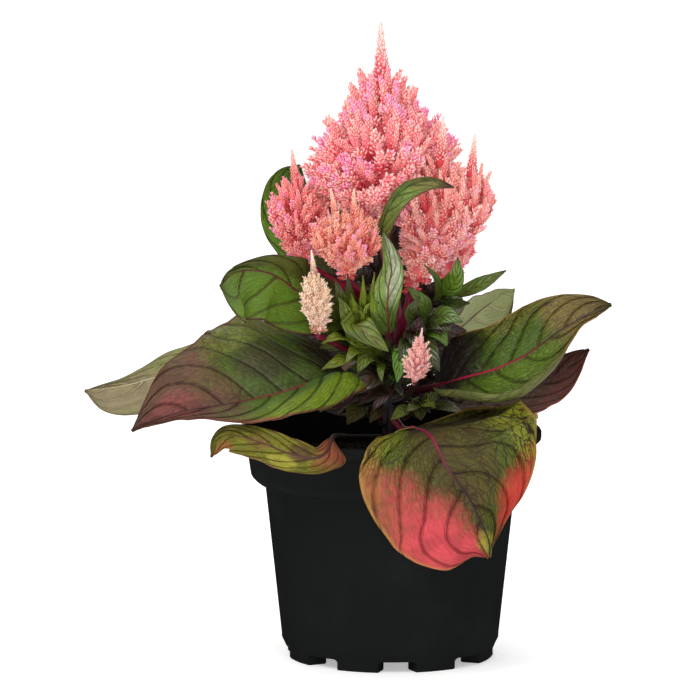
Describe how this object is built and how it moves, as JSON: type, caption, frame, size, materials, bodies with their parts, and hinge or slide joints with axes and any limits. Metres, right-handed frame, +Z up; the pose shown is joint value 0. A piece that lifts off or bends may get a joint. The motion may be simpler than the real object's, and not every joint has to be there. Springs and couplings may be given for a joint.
{
  "type": "potted plume celosia",
  "caption": "Potted flowering plant: upright feathery plumes over broad veined leaves, in a tapered round nursery pot with a deep rim and arched drainage foot.",
  "frame": {"origin": "middle of the pot's underside, where it rests on the ground", "axes": "+Z up along the pot's axis, -Y towards the front with the large drooping leaf, +X to the right seen from the front"},
  "size_m": [0.2074, 0.1722, 0.252],
  "materials": {
    "pot_plastic": "satin",
    "peat": "matte",
    "stem": "satin",
    "leaf_green": "satin",
    "leaf_olive": "satin",
    "leaf_red": "satin",
    "leaf_maroon": "satin",
    "plume_pink": "matte",
    "plume_cream": "matte"
  },
  "bodies": {
    "root": {"pot": "pot_plastic", "main_stem": "stem", "soil": "peat", "leaf_left_front": "leaf_green", "leaf_left_rear": "leaf_olive", "leaf_left_upper": "leaf_green", "leaf_upper_rear": "leaf_green", "leaf_upright": "leaf_green", "leaf_arching": "leaf_green", "leaf_right_large": "leaf_green", "leaf_right_rear": "leaf_olive", "leaf_right_low": "leaf_maroon", "leaf_front": "leaf_red", "leaf_front_left": "leaf_olive", "leaf_back": "leaf_green", "leaf_back_left": "leaf_red", "leaf_back_right": "leaf_green", "shoot_left": "leaf_green", "shoot_front_left": "leaf_green", "shoot_right_upper": "leaf_green", "shoot_right_mid": "leaf_green", "shoot_front": "leaf_green", "shoot_left_low": "leaf_olive", "shoot_front_low": "leaf_green", "shoot_back_low": "leaf_green", "shoot_back_right": "leaf_green", "shoot_back_upper": "leaf_green", "plume_main": "plume_pink", "plume_right": "plume_pink", "plume_left": "plume_pink", "plume_front": "plume_pink", "plume_cream": "plume_cream", "plume_small": "plume_pink", "plume_rear": "plume_pink", "plume_rear_right": "plume_pink"}
  },
  "joints": []
}
